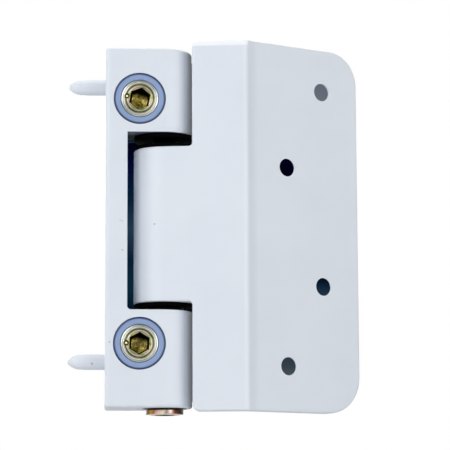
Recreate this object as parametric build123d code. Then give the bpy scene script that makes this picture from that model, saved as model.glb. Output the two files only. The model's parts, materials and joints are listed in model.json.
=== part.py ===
from build123d import *
import os
from math import cos, radians, sin, sqrt

# Adjustable flag hinge for a composite door, in millimetres.
# X runs away from the door frame, Y runs into the wall, Z runs up along the hinge pin.
# The origin is on the fixing face of the frame body, at mid thickness and mid height.

# Frame body
body_height = 98.5
barrel_r = 8.5
axis_x = 16.4
nose_end = 23.9
nose_corner_r = 8.4
spine = 6.05
pocket_top = 25.8
pocket_bottom = -22.9
pocket_corner_r = 1.0
body_edge_r = 0.7
side_edge_r = 1.25
pocket_edge_r = 0.35

# Cast locating pegs on the fixing face
peg_r = 2.1
peg_straight = 5.0
peg_taper_end = 6.2
peg_taper_r = 2.0
peg_length = 10.0
peg_tip_r = 0.5
peg_nose_bulge = 0.76
peg_heights = (39.7, -36.55)

# Countersunk fixing holes through the spine
fixing_hole_r = 2.75
fixing_sink_r = 5.0
fixing_spacing = 24.0
pocket_mid = (pocket_top + pocket_bottom) / 2

# Lateral adjusters, one in each lug
adjuster_x = 9.35
adjuster_heights = (35.1, -32.1)
lateral_travel = 0.7
eccentricity = 1.0
head_r = 5.1
head_recess = 0.1
head_chamfer = 0.35
face_groove_r = 3.95
face_groove_width = 0.3
face_groove_depth = 0.2
journal_r = 4.1
lobe_r = 2.1
tail_r = 1.4
tail_end = 8.1
socket_width = 5.0
socket_depth = 3.0
socket_drill_r = 1.15
socket_drill_depth = 0.3
punch_mark_r = 0.6
punch_mark_tip_r = 0.1
punch_mark_offset = 3.6
punch_mark_depth = 0.35
socket_turns = (-11.0, -2.0)
clip_groove_r = 1.1
clip_groove_front = 6.95
clip_thickness = 0.5
clip_r = 3.4
clip_gap_width = 2.0
clip_relief_r = 0.6
clip_relief_reach = 1.85
clip_relief_angle = 30.0
tail_chamfer = 0.3
lobe_clearance = 0.1

# Blue adjuster rings let into the front face
ring_r = 7.1
ring_depth = 2.0
ring_floor = 0.8
ring_edge_r = 0.2
ring_fit = 0.05
head_clearance = 0.1
journal_clearance = 0.1

# Disc springs under the clips on the back face
back_pocket_r = 4.5
back_pocket_floor = 6.2
disc_spring_r = 3.6
disc_spring_thickness = 0.3
tail_clearance = 0.08

# Pin carriers sliding in the lugs
carrier_r = 5.2
carrier_cavity_r = 5.5
tongue_half_width = 2.9
tongue_cavity_half_width = 3.0
tongue_wall = 1.0
end_clearance = 0.1
lug_end_wall = 2.75
lug_roof_wall = 3.25
slot_play = 0.4
carrier_step = 1.2
carrier_chamfer = 0.4

# Hinge pin, its bushes and the height screw
pin_r = 3.5
pin_foot_r = 4.0
pin_top = 38.0
pin_foot_end = -36.2
pin_top_chamfer = 0.8
pin_foot_chamfer = 0.3
running_gap = 0.05
knuckle_height = 42.7
knuckle_mid = 0.55
bush_flange = 1.0
bush_sleeve_r = 5.25
bush_sleeve_length = 12.0
bush_flange_r = 8.4
bush_edge = 0.2
collar_thickness = 1.32
collar_sleeve_r = 4.3
collar_sleeve_end = 39.9
collar_play = 0.04
washer_r = 5.2
washer_thickness = 0.6
ball_r = 2.5
ball_seat_r = 2.55
ball_seat_depth = 2.4
screw_r = 4.0
screw_thread_gap = 0.04
screw_head_r = 5.1
screw_head_thickness = 2.6
screw_head_showing = 1.75
screw_head_chamfer = 0.2
screw_face_r = 3.6
screw_face_rise = 0.25
screw_tip_chamfer = 0.4
screw_socket_depth = 5.0
screw_hole_r = 5.4
insert_r = 4.6
insert_length = 8.0

# Flag leaf, drawn flat about the pin axis and then turned to the photographed angle
flag_height = 101.6
flag_mid = 0.45
flag_turn = -7.1
plate_heading = 29.0
band_start = 8.25
band_end = 23.8
band_corner_r = 1.8
band_thickness = 4.6
plate_step = 1.0
plate_thickness = 4.0
plate_length = 36.4
plate_corner_radii = (10.3, 9.0)
shoulder_run = 0.55
shoulder_r = 1.4
cove_reach = 1.73
cove_r = 12.0
relief_r = 9.7
web_reach = 18.0
web_corner_r = 2.5
notch_r = 1.0
flag_edge_r = 0.6
plate_hole_r = 2.5
hole_row_inner = 12.5
hole_row_outer = 24.3
hole_mid = 0.2
hole_rows = ((hole_row_outer, 38.6), (hole_row_inner, 16.2),
             (hole_row_outer, -16.2), (hole_row_inner, -38.6))

half_height = body_height / 2
knuckle_top = knuckle_mid + knuckle_height / 2
knuckle_bottom = knuckle_mid - knuckle_height / 2
pin_shoulder = knuckle_bottom - bush_flange - washer_thickness
collar_bottom = pocket_top - collar_play - collar_thickness
screw_top = pin_foot_end - 2 * (ball_r - ball_seat_depth)
screw_bottom = -half_height - screw_head_showing
screw_head_top = screw_bottom + screw_head_thickness
ring_floor_y = ring_depth - barrel_r
head_back_y = ring_floor_y - ring_floor
journal_end_y = -5.3
lobe_end_y = 2.95


def ring(outer_r, inner_r, bottom, top):
    """A plain sleeve about the Z axis through the pin."""
    section = Pos((outer_r + inner_r) / 2, (bottom + top) / 2) * Rectangle(outer_r - inner_r, top - bottom)
    sleeve = revolve(Plane.XZ * section, Axis.Z)
    return Pos(axis_x, 0, 0) * sleeve


def turned(points):
    """A turned piece about the pin axis, from its half section as (radius, height) corners."""
    section = make_face(Polyline(*points, close=True))
    return Pos(axis_x, 0, 0) * revolve(Plane.XZ * section, Axis.Z)


def turned_along_y(points, height):
    """A turned piece about an adjuster's axis, from its half section as (radius, depth) corners."""
    section = make_face(Polyline(*points, close=True))
    return Pos(adjuster_x, 0, height) * revolve(section, Axis.Y)


def lug_plan():
    """Plan of the frame body: a block whose nose beyond the pin has wide round corners."""
    block = Pos(nose_end / 2, 0) * Rectangle(nose_end, 2 * barrel_r)
    return fillet(block.vertices().group_by(Axis.X)[-1], nose_corner_r)


def carrier_plan(nose_r, half_width, wall_x, shift):
    """Plan shared by a pin carrier and its cavity, stretched sideways by the shift."""
    nose = SlotCenterToCenter(2 * shift, 2 * nose_r) if shift else Circle(nose_r)
    tongue = Pos((wall_x + axis_x) / 2, 0) * Rectangle(axis_x - wall_x, 2 * half_width)
    return Pos(axis_x, 0) * nose + tongue


def slot_edges():
    """Left and right faces of the slot that holds the eccentric lobe."""
    return adjuster_x - lobe_r - lobe_clearance, adjuster_x + lobe_r + lobe_clearance


def tongue_end():
    return slot_edges()[0] - tongue_wall


def carrier_cavity(low, high):
    shift = lateral_travel + end_clearance
    plan = carrier_plan(carrier_cavity_r, tongue_cavity_half_width, tongue_end() - shift, shift)
    return Pos(0, 0, low) * extrude(plan, high - low)


def pocket_cut():
    """The gap that takes the knuckle, with a cast radius in its lower inner corner."""
    reach = axis_x + 2 * barrel_r - spine
    outline = Pos(spine + reach / 2, pocket_mid) * Rectangle(reach, pocket_top - pocket_bottom)
    corner = outline.vertices().group_by(Axis.X)[0].sort_by(Axis.Y)[0]
    outline = fillet(corner, pocket_corner_r)
    return extrude(Plane.XZ * outline, 2 * barrel_r, both=True)


def pocket_rim(body):
    """The edges that the pocket cut leaves on the front, back and nose of the casting."""
    def on_rim(edge):
        low, high = edge.bounding_box().min, edge.bounding_box().max
        in_one_face = high.Y - low.Y < 0.01 and abs(abs(low.Y) - barrel_r) < 0.01
        beside_pocket = low.X > spine - 0.01 and low.Z > pocket_bottom - 0.01 and high.Z < pocket_top + 0.01
        round_nose = high.Z - low.Z < 0.01 and high.X > nose_end - 0.01
        return beside_pocket and (in_one_face or round_nose)
    return body.edges().filter_by(on_rim)


def locating_peg(height):
    """A round cast peg with a slight draft and a bullet nose."""
    outline = Polyline((-1, 0), (-1, peg_r), (peg_straight, peg_r), (peg_taper_end, peg_taper_r))
    nose_mid = ((peg_taper_end + peg_length) / 2 + peg_tip_r, peg_taper_r * peg_nose_bulge)
    nose = ThreePointArc((peg_taper_end, peg_taper_r), nose_mid, (peg_length, peg_tip_r))
    closing = Polyline((peg_length, peg_tip_r), (peg_length, 0), (-1, 0))
    half = make_face(outline + nose + closing)
    return Pos(0, 0, height) * (Rot(0, 0, 180) * revolve(half, Axis.X))


def fixing_hole(height):
    """A countersunk screw hole, opening into the pocket behind the knuckle."""
    sink_depth = fixing_sink_r - fixing_hole_r
    profile = Polyline((-1, 0), (-1, fixing_hole_r), (spine - sink_depth, fixing_hole_r),
                       (spine, fixing_sink_r), (spine + 1, fixing_sink_r), (spine + 1, 0), close=True)
    return Pos(0, 0, height) * revolve(make_face(profile), Axis.X)


def adjuster_bore(height):
    """Everything an adjuster needs in the casting: ring seat, journal bore, tail bore and back pocket."""
    seat_r = ring_r + ring_fit
    journal_bore_r = journal_r + journal_clearance
    tail_bore_r = tail_r + tail_clearance
    return turned_along_y(((0, -barrel_r - 1), (seat_r, -barrel_r - 1), (seat_r, ring_floor_y),
                           (journal_bore_r, ring_floor_y), (journal_bore_r, 0), (tail_bore_r, 0),
                           (tail_bore_r, back_pocket_floor), (back_pocket_r, back_pocket_floor),
                           (back_pocket_r, barrel_r + 1), (0, barrel_r + 1)), height)


def frame_body():
    body = extrude(Pos(0, 0, -half_height) * lug_plan(), body_height)
    body = fillet(body.edges().filter_by(Axis.Z).group_by(Axis.X)[0], side_edge_r)
    ends = body.faces().sort_by(Axis.Z)
    body = fillet(ends[0].edges() + ends[-1].edges(), body_edge_r)
    body -= pocket_cut()
    body = fillet(pocket_rim(body), pocket_edge_r)
    body -= carrier_cavity(pocket_top, half_height - lug_roof_wall)
    body -= carrier_cavity(lug_end_wall - half_height, pocket_bottom + pocket_corner_r)
    travel = 2 * (lateral_travel + end_clearance)
    screw_opening = Pos(axis_x, 0, -half_height - 1) * SlotCenterToCenter(travel, 2 * screw_hole_r)
    body -= extrude(screw_opening, lug_end_wall + 2)
    for height in adjuster_heights:
        body -= adjuster_bore(height)
    for side in (-1, 1):
        body -= fixing_hole(pocket_mid + side * fixing_spacing / 2)
    for height in peg_heights:
        body += locating_peg(height)
    return body


def adjuster_ring(height):
    """Blue ring with a thin floor that the adjuster's head bears on."""
    front = -barrel_r
    points = ((ring_r, ring_floor_y), (ring_r, front + ring_edge_r), (ring_r - ring_edge_r, front),
              (head_r + head_clearance, front), (head_r + head_clearance, head_back_y),
              (journal_r + journal_clearance, head_back_y), (journal_r + journal_clearance, ring_floor_y))
    return turned_along_y(points, height)


def adjuster(height, socket_turn):
    """Eccentric adjuster: head with a hexagon socket, journal, offset lobe and tail."""
    front = head_recess - barrel_r
    groove_in = face_groove_r - face_groove_width
    points = ((0, front), (groove_in, front), (groove_in, front + face_groove_depth),
              (face_groove_r, front + face_groove_depth), (face_groove_r, front),
              (head_r - head_chamfer, front), (head_r, front + head_chamfer), (head_r, head_back_y),
              (journal_r, head_back_y), (journal_r, journal_end_y), (tail_r, journal_end_y),
              (tail_r, clip_groove_front),
              (clip_groove_r, clip_groove_front), (clip_groove_r, clip_groove_front + clip_thickness),
              (tail_r, clip_groove_front + clip_thickness), (tail_r, tail_end - tail_chamfer),
              (tail_r - tail_chamfer, tail_end), (0, tail_end))
    piece = turned_along_y(points, height)
    lobe = Pos(adjuster_x, journal_end_y, height + eccentricity) * (Rot(-90, 0, 0) * Cylinder(
        lobe_r, lobe_end_y - journal_end_y, align=(Align.CENTER, Align.CENTER, Align.MIN)))
    piece += lobe
    face = Plane(origin=(adjuster_x, front, height), x_dir=(1, 0, 0), z_dir=(0, -1, 0))
    hexagon = Rot(0, 0, 90 + socket_turn) * RegularPolygon(socket_width / sqrt(3), 6)
    piece -= extrude(face * hexagon, -socket_depth)
    drill = face * (Pos(0, 0, -socket_depth) * Circle(socket_drill_r))
    piece -= extrude(drill, -socket_drill_depth)
    mark_angle = radians(180 + socket_turn)
    mark_place = (punch_mark_offset * cos(mark_angle), punch_mark_offset * sin(mark_angle))
    mark = face * (Pos(*mark_place, -punch_mark_depth) * Cone(
        punch_mark_tip_r, punch_mark_r, punch_mark_depth, align=(Align.CENTER, Align.CENTER, Align.MIN)))
    return piece - mark


def disc_spring(height):
    """Conical spring washer that keeps the adjuster's head pulled on to its ring."""
    inner = tail_r + tail_clearance
    top = clip_groove_front
    points = ((disc_spring_r, back_pocket_floor), (disc_spring_r, back_pocket_floor + disc_spring_thickness),
              (inner, top), (inner, top - disc_spring_thickness))
    return turned_along_y(points, height)


def retaining_clip(height):
    """Open retaining clip in the tail's groove, relieved on both sides so that it grips on three pads."""
    plan = Circle(clip_r) - Circle(clip_groove_r)
    plan -= Pos(0, -clip_r) * Rectangle(clip_gap_width, 2 * clip_r)
    for direction in (clip_relief_angle, 180 - clip_relief_angle):
        plan -= Rot(0, 0, direction) * (Pos(clip_relief_reach, 0) * Circle(clip_relief_r))
    place = Plane(origin=(adjuster_x, clip_groove_front, height), x_dir=(1, 0, 0), z_dir=(0, 1, 0))
    return extrude(place * plan, clip_thickness)


def lobe_slot(height):
    """Slot across a carrier's tongue for the eccentric lobe to rise and fall in."""
    left, right = slot_edges()
    half_length = lobe_r + slot_play
    drop = eccentricity * (1 - cos(radians(45)))
    middle = height + eccentricity - drop / 2
    outline = Pos((left + right) / 2, middle) * Rectangle(right - left, 2 * half_length + drop)
    return extrude(Plane.XZ * outline, carrier_r, both=True)


def upper_pin_carrier():
    low = pocket_top + collar_play
    high = half_height - lug_roof_wall - end_clearance
    plan = carrier_plan(carrier_r, tongue_half_width, tongue_end(), 0)
    block = extrude(Pos(0, 0, low) * plan, high - low)
    block = chamfer(block.faces().sort_by(Axis.Z)[-1].edges(), carrier_chamfer)
    block -= ring(collar_sleeve_r, 0, low - 1, collar_sleeve_end)
    return block - lobe_slot(adjuster_heights[0])


def lower_pin_carrier():
    low = lug_end_wall - half_height + end_clearance
    high = pocket_bottom - carrier_step
    plan = carrier_plan(carrier_r, tongue_half_width, tongue_end(), 0)
    block = extrude(Pos(0, 0, low) * plan, high - low)
    block = chamfer(block.faces().sort_by(Axis.Z)[-1].edges(), carrier_chamfer)
    block -= ring(pin_foot_r + running_gap, 0, low - 1, high + 1)
    block -= ring(insert_r, 0, low - 1, low + insert_length)
    return block - lobe_slot(adjuster_heights[1])


def upper_collar():
    """Black flanged bush: its flange closes the gap under the upper lug, its sleeve guides the pin."""
    bore = pin_r + running_gap
    top = collar_bottom + collar_thickness
    return turned(((bore, collar_bottom), (bush_flange_r - bush_edge, collar_bottom),
                   (bush_flange_r, collar_bottom + bush_edge), (bush_flange_r, top), (collar_sleeve_r, top),
                   (collar_sleeve_r, collar_sleeve_end), (bore, collar_sleeve_end)))


def hinge_pin():
    """Stepped pin: the foot slides in the lower carrier and its shoulder carries the knuckle."""
    return turned(((0, pin_foot_end + ball_seat_depth), (ball_seat_r, pin_foot_end + ball_seat_depth),
                   (ball_seat_r, pin_foot_end), (pin_foot_r - pin_foot_chamfer, pin_foot_end),
                   (pin_foot_r, pin_foot_end + pin_foot_chamfer), (pin_foot_r, pin_shoulder),
                   (pin_r, pin_shoulder), (pin_r, pin_top - pin_top_chamfer),
                   (pin_r - pin_top_chamfer, pin_top), (0, pin_top)))


def thrust_washer():
    return ring(washer_r, pin_r + running_gap, pin_shoulder, pin_shoulder + washer_thickness)


def thrust_ball():
    return Pos(axis_x, 0, pin_foot_end + ball_seat_depth - ball_r) * Sphere(ball_r)


def thread_insert():
    """Brass threaded insert in the foot of the lower carrier."""
    low = lug_end_wall - half_height + end_clearance
    return ring(insert_r, screw_r + screw_thread_gap, low, low + insert_length)


def height_screw():
    """Flanged screw turned from below: it lifts the pin through the ball."""
    piece = turned(((0, screw_bottom), (screw_face_r, screw_bottom),
                    (screw_head_r, screw_bottom + screw_face_rise),
                    (screw_head_r, screw_head_top - screw_head_chamfer),
                    (screw_head_r - screw_head_chamfer, screw_head_top), (screw_r, screw_head_top),
                    (screw_r, screw_top - screw_tip_chamfer), (screw_r - screw_tip_chamfer, screw_top),
                    (ball_seat_r, screw_top),
                    (ball_seat_r, screw_top - ball_seat_depth), (0, screw_top - ball_seat_depth)))
    hexagon = Pos(axis_x, 0, screw_bottom) * RegularPolygon(socket_width / sqrt(3), 6)
    return piece - extrude(hexagon, screw_socket_depth)


def knuckle_bush(face, outward):
    """Flanged bush pressed into one end of the knuckle; outward is 1 at the top and -1 at the bottom."""
    bore = pin_r + running_gap
    tip = face + outward * bush_flange
    sleeve_end = face - outward * bush_sleeve_length
    return turned(((bore, tip), (bush_flange_r - bush_edge, tip), (bush_flange_r, tip - outward * bush_edge),
                   (bush_flange_r, face), (bush_sleeve_r, face), (bush_sleeve_r, sleeve_end),
                   (bore, sleeve_end)))


def plate_start():
    """Where the plate's front face begins, and its direction, drawn flat about the pin axis."""
    bend = radians(plate_heading - flag_turn)
    return (band_end, plate_step - barrel_r), (cos(bend), sin(bend))


def flag_section():
    """Section of the raised band and the plate that leaves it at an angle."""
    start, along = plate_start()
    back = (-along[1] * plate_thickness, along[0] * plate_thickness)
    tip = (start[0] + along[0] * plate_length, start[1] + along[1] * plate_length)
    tip_back = (tip[0] + back[0], tip[1] + back[1])
    band_back = band_thickness - barrel_r
    slide = (band_back - tip_back[1]) / along[1]
    inner_corner = (tip_back[0] + slide * along[0], band_back)
    cove = (start[0] + along[0] * cove_reach, start[1] + along[1] * cove_reach)
    face = make_face(Polyline((0, band_back), (0, -barrel_r), (band_end - shoulder_run, -barrel_r), cove,
                              tip, tip_back, inner_corner, close=True))

    def corner(x, y):
        return face.vertices().sort_by_distance((x, y, 0))[0]

    face = fillet(corner(band_end - shoulder_run, -barrel_r), shoulder_r)
    face = fillet(corner(*cove), cove_r)
    return fillet(corner(*inner_corner), web_corner_r)


def knuckle():
    """Barrel of the knuckle with rounded ends, and the web that runs from it into the back of the band."""
    barrel = Cylinder(barrel_r, knuckle_height)
    barrel = fillet(barrel.edges().filter_by(GeomType.CIRCLE), flag_edge_r)
    diagonal = barrel_r * cos(radians(45))
    band_back = band_thickness - barrel_r
    foot = 2 * diagonal - band_back
    web = make_face(Polyline((0, band_back), (web_reach, band_back - 1), (web_reach, band_back),
                             (foot, band_back), (diagonal, diagonal), (0, 0), close=True))
    web = fillet(web.vertices().sort_by_distance((foot, band_back, 0))[0], web_corner_r)
    web_height = knuckle_height - 2 * flag_edge_r
    return barrel + Pos(0, 0, -web_height / 2) * extrude(web, web_height)


def plate_hole(along_plate, height):
    """Drill for one plate hole, square to the plate."""
    start, along = plate_start()
    place = Plane(origin=(start[0] + along[0] * along_plate, start[1] + along[1] * along_plate, height),
                  x_dir=(0, 0, 1), z_dir=(-along[1], along[0], 0))
    return extrude(place * Circle(plate_hole_r), 2 * plate_thickness, both=True)


def lug_room(side):
    """Room for one lug beside the band, with a radius where the knuckle's end meets the band's edge."""
    inner = (knuckle_top if side > 0 else knuckle_bottom) - flag_mid
    outer = side * flag_height
    width = 3 * barrel_r
    outline = Pos(band_start - width / 2, (inner + outer) / 2) * Rectangle(width, abs(outer - inner))
    corner = outline.vertices().sort_by_distance((band_start, inner, 0))[0]
    room = extrude(Plane.XZ * fillet(corner, notch_r), 2 * barrel_r, both=True)
    relief_start = inner + side * (notch_r + running_gap)
    relief = Pos(0, 0, (relief_start + outer) / 2) * Cylinder(relief_r, abs(outer - relief_start))
    return room, relief


def on_front(edge):
    """True for the edges of the visible face beside the lugs: band, notches and knuckle ends."""
    low, high = edge.bounding_box().min, edge.bounding_box().max
    return high.Y < 0.01 - barrel_r and 0.01 < high.X < band_start + 0.01


def on_band_corner(edge):
    """True for the short edges at the upper and lower corners of the band, beside the lugs."""
    low, high = edge.bounding_box().min, edge.bounding_box().max
    at_start = abs(low.X - band_start) < 0.01 and abs(high.X - band_start) < 0.01
    at_end = abs(abs(low.Z) - flag_height / 2) < 0.01 and high.Z - low.Z < 0.01
    return at_start and at_end


def flag_leaf():
    leaf = extrude(Pos(0, 0, -flag_height / 2) * flag_section(), flag_height)
    for end, radius in zip((0, -1), plate_corner_radii):
        plate_ends = leaf.edges().filter_by(lambda edge: abs(edge.length - plate_thickness) < 0.01)
        leaf = fillet(plate_ends.sort_by(Axis.Z)[end], radius)
    rooms, reliefs = zip(lug_room(1), lug_room(-1))
    for room in rooms:
        leaf -= room
    leaf = fillet(leaf.edges().filter_by(on_band_corner), band_corner_r)
    ends = leaf.faces().filter_by(Axis.Z).sort_by(Axis.Z)
    leaf = fillet(ends[0].edges() + ends[-1].edges() + leaf.edges().filter_by(on_front), flag_edge_r)
    leaf += Pos(0, 0, knuckle_mid - flag_mid) * knuckle()
    for relief in reliefs:
        leaf -= relief
    leaf -= Pos(0, 0, knuckle_mid - flag_mid) * Cylinder(bush_sleeve_r, knuckle_height + 2)
    for along_plate, height in hole_rows:
        leaf -= plate_hole(along_plate, height + hole_mid)
    return Pos(axis_x, 0, flag_mid) * (Rot(0, 0, flag_turn) * leaf)


def hinge_pieces():
    """Every piece by its node name."""
    pieces = {
        "frame_body": frame_body(),
        "upper_pin_carrier": upper_pin_carrier(),
        "lower_pin_carrier": lower_pin_carrier(),
        "upper_collar": upper_collar(),
        "thread_insert": thread_insert(),
        "hinge_pin": hinge_pin(),
        "thrust_washer": thrust_washer(),
        "thrust_ball": thrust_ball(),
        "height_screw": height_screw(),
        "flag_leaf": flag_leaf(),
        "upper_knuckle_bush": knuckle_bush(knuckle_top, 1),
        "lower_knuckle_bush": knuckle_bush(knuckle_bottom, -1),
    }
    for side, height, turn in zip(("upper", "lower"), adjuster_heights, socket_turns):
        pieces[side + "_adjuster_ring"] = adjuster_ring(height)
        pieces[side + "_adjuster"] = adjuster(height, turn)
        pieces[side + "_disc_spring"] = disc_spring(height)
        pieces[side + "_retaining_clip"] = retaining_clip(height)
    return pieces


os.makedirs("parts", exist_ok=True)
for name, solid in hinge_pieces().items():
    export_step(solid, f"parts/{name}.step")
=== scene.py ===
import json
from math import cos, pi, radians, sin, sqrt

import bmesh
import bpy
from bpy.props import FloatProperty, FloatVectorProperty, PointerProperty
from mathutils import Matrix, Vector


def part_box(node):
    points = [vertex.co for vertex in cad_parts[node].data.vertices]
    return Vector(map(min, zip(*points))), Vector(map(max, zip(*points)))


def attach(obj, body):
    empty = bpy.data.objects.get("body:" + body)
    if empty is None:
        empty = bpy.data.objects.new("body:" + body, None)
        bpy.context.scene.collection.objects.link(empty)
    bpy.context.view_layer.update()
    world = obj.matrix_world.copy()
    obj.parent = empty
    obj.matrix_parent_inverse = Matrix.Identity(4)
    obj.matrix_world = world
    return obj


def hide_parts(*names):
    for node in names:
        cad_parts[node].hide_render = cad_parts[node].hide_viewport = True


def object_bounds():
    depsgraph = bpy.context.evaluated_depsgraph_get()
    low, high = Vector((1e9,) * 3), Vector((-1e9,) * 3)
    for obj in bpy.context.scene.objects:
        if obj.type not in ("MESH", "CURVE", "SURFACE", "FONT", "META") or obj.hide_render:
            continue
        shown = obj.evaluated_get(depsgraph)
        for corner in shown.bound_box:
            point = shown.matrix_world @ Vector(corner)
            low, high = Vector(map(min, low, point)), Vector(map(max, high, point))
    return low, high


bl_info = {
    "name": "Adjustable Flag Hinge",
    "version": (1, 0, 0),
    "blender": (4, 5, 0),
    "location": "View3D > Sidebar > Hinge",
    "description": "Finishes and visible hardware of a composite door hinge",
    "category": "Object",
}

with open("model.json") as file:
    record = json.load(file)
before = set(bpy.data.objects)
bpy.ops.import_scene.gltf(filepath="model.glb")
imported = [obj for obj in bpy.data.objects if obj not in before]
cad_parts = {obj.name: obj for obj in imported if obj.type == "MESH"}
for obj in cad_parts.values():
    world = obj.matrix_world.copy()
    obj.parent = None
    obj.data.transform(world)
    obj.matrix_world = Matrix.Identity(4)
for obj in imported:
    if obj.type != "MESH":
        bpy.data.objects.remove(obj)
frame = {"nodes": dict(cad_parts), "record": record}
cad_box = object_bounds()

MM = 0.001
ALONG_Y = Vector((0, 1, 0))
# Turned pieces are made about the Y axis with their visible face at 0; this stands one on end, face down.
FACE_DOWN = Matrix.Rotation(pi / 2, 4, "X")
SPIN_STEPS = 96
CIRCLE_STEPS = 48
# In millimetres: points closer than the first are joined, and within the second they count as in place.
WELD = 0.001
NEAR = 0.01
# Edges sharper than these angles, in degrees, are shaded sharp and are bevelled.
SHARP_FROM = 32
BEVEL_FROM = 35

# Sizes of the turned pieces in millimetres, as on the CAD pieces. Depths are measured back from the face.
KEY_SIZE = 5.0
RIM_BREAK = 0.12
DRILL_R = 1.15
DRILL_DEPTH = 0.3
DRILL_TIP_SCALE = 0.02
HEAD_R = 5.1
HEAD_DEPTH = 1.1
ADJUSTER_FACE_R = 3.2
SCRIBED_INNER_R = 3.68
SCRIBED_FLOOR = (3.76, 3.9)
SCRIBED_DEPTH = 0.16
SCRIBED_R = 3.98
# The broken front edge of an adjuster's head, as corners of radius and depth.
HEAD_EDGE = ((4.5, 0), (4.95, 0.1), (HEAD_R, 0.28))
ADJUSTER_EDGE = 0.05
JOURNAL_R = 4.1
JOURNAL_END = 3.1
LOBE_R = 2.1
LOBE_END = 11.35
ECCENTRICITY = 1.0
TAIL_R = 1.4
TAIL_END = 16.5
TAIL_CHAMFER = 0.3
GROOVE_R = 1.1
GROOVE_START = 15.35
GROOVE_WIDTH = 0.5
SOCKET_DEPTH = 3.0
# Punch mark: how far from the middle, its radius and depth. Its raised lip ends at so many of its radii.
PUNCH_REACH = 3.56
PUNCH_R = 0.62
PUNCH_DEPTH = 0.35
PUNCH_LIP = 1.35
PUNCH_LIP_RISE = 0.05
# The face is made finer within this distance of the punch mark, and nothing below this depth is pressed in.
PUNCH_FINE_R = 1.3
PUNCH_LOWEST = 0.4
RING_R = 7.1
RING_BORE = 5.2
RING_FLOOR_BORE = 4.2
RING_FLOOR = 0.8
SCREW_FACE_R = 3.6
SCREW_FACE_RISE = 0.25
SCREW_HEAD = 2.6
SCREW_HEAD_CHAMFER = 0.2
SCREW_TIP_CHAMFER = 0.3
SCREW_EDGE = 0.08
SCREW_CREST_R = 4.0
SCREW_ROOT_R = 3.4
SCREW_PITCH = 1.25
SCREW_RUN_OUT = 1
SCREW_SOCKET_DEPTH = 5.0
# The thread's ridge: how deep its foot is sunk, and half its width at foot and crest in pitches.
THREAD_SUNK = 0.2
THREAD_FOOT = 0.4
THREAD_CREST = 0.06
BALL_SEAT_R = 2.55
BALL_SEAT_DEPTH = 2.4
PIN_BORE = 3.55
FLANGE_R = 8.4
BUSH_FLANGE = 1.0
BUSH_SLEEVE_R = 5.25
BUSH_EDGE = 0.2
COLLAR_FLANGE = 1.32
COLLAR_SLEEVE_R = 4.3
SIDES = ("upper", "lower")
# How far each adjuster's socket stands turned from a corner at the top, in degrees.
SOCKET_TURNS = {"upper": -11, "lower": -2}

# Materials: distances are in millimetres, and bumps are given as strength and height.
# The coat on the castings: distance over which it pools, roughness from the peel's valleys to its tops, and
# how strongly it mirrors.
COAT_POOL = 15
COAT_ROUGHNESS = (0.36, 0.46)
PEEL_BUMPS = (0.25, 0.02)
COAT_SHEEN = 0.5
COAT_IOR = 1.5
# Painted highlights on the coat of the flag's band: along X beside the bend, and the strip at its top.
BAND_HIGHLIGHT_TONE = "#FAFCFF"
BAND_RIDGE = (37.7, 38.9)
BAND_RIDGE_SOFT = 0.3
BAND_RIDGE_HIGHLIGHT = 0.12
BAND_TOP_STRIP = 1.3
BAND_TOP_OVER = 1
BAND_TOP_SOFT = 0.5
BAND_TOP_HIGHLIGHT = 0.75
# Small knocks and specks in the coat: place and radius in millimetres, and tone.
FRAME_MARKS = (((4.7, -8.5, -6.8), 0.2, "#B2BAC2"), ((4.1, -8.5, 1.4), 0.16, "#BCC4CC"),
               ((4.7, -8.5, 1.1), 0.16, "#BCC4CC"), ((-3.4, -2.0, -37.1), 0.25, "#A8B0B8"),
               ((1.3, -8.5, -31.8), 0.2, "#B6BEC6"))
FLAG_MARKS = (((13.4, -7.95, 0.4), 0.2, "#A2ABB3"), ((24.7, -9.3, -20.5), 0.2, "#B6BEC7"),
              ((38.6, -10.2, 49.9), 0.3, "#7A828A"))
# Painted shade on the face that looks down under the upper lug: tone, and where along Y it deepens.
ROOF_SHADE_TONE = "#2C4356"
ROOF_SHADE_SPAN = (-8.7, -2)
ROOF_SHADE_FAINTEST = 0.85
# How far under and over that face the painted shade reaches, and its soft edge.
ROOF_SHADE_UNDER = 0.5
ROOF_SHADE_OVER = 0.1
ROOF_SHADE_SOFT = 0.05
# Faces whose normal points down more than this count as looking down.
LOOKS_DOWN = -0.8
# Painted shade on the lugs' rounded end, where the flag's band keeps the light off: tone, where along X it
# deepens, and where along Y it fades.
NOSE_SHADE_TONE = "#282E33"
NOSE_SHADE_SPAN = (22.2, 23.7)
NOSE_SHADE_FADE = (-0.8, 1.2)
NOSE_SHADE_DEEPEST = 0.9

# Moulded nylon: spacing of its clouds, and of the mould's texture, 0.15 mm but drawn at 0.3 mm to show.
NYLON_CLOUDS = 4
MOULD_TEXTURE = 0.3
MOULD_BUMPS = (0.2, 0.02)
NYLON_IOR = 1.53
RING_ROUGHNESS = 0.42
BUSH_ROUGHNESS = 0.7
BUSH_SHEEN = 0.02
BUSH_SHADE = 0.85
# Painted shade in the joint round an adjuster ring fades in between these radii.
JOINT_SHADE_SPAN = (RING_R - 0.7, RING_R - 0.35)

# Metals of the inner parts: tones from dark to light, roughness, spacing and stretch of the grain, and nodes.
INNER_METALS = {
    "greased_die_cast_zinc": (("#1B232B", "#2A333C"), 0.75, 0.6, (1, 1, 1),
                              ("upper_pin_carrier", "lower_pin_carrier")),
    "blued_spring_steel": (("#25292F", "#3C424B"), 0.35, 0.4, (1, 1, 1),
                           ("upper_disc_spring", "lower_disc_spring", "upper_retaining_clip",
                            "lower_retaining_clip")),
    "turned_brass": (("#B08D4A", "#CFAE68"), 0.3, 0.5, (0.2, 0.2, 1), ("thread_insert",)),
    "black_oxide_steel": (("#040405", "#0A0B0C"), 0.5, 0.4, (0.2, 0.2, 1),
                          ("hinge_pin", "thrust_washer", "thrust_ball"))}
METAL_CLOUDS = 2.5
METAL_TONE_SPAN = (0.35, 0.65)
GRAIN_BUMPS = (0.3, 0.02)

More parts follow.
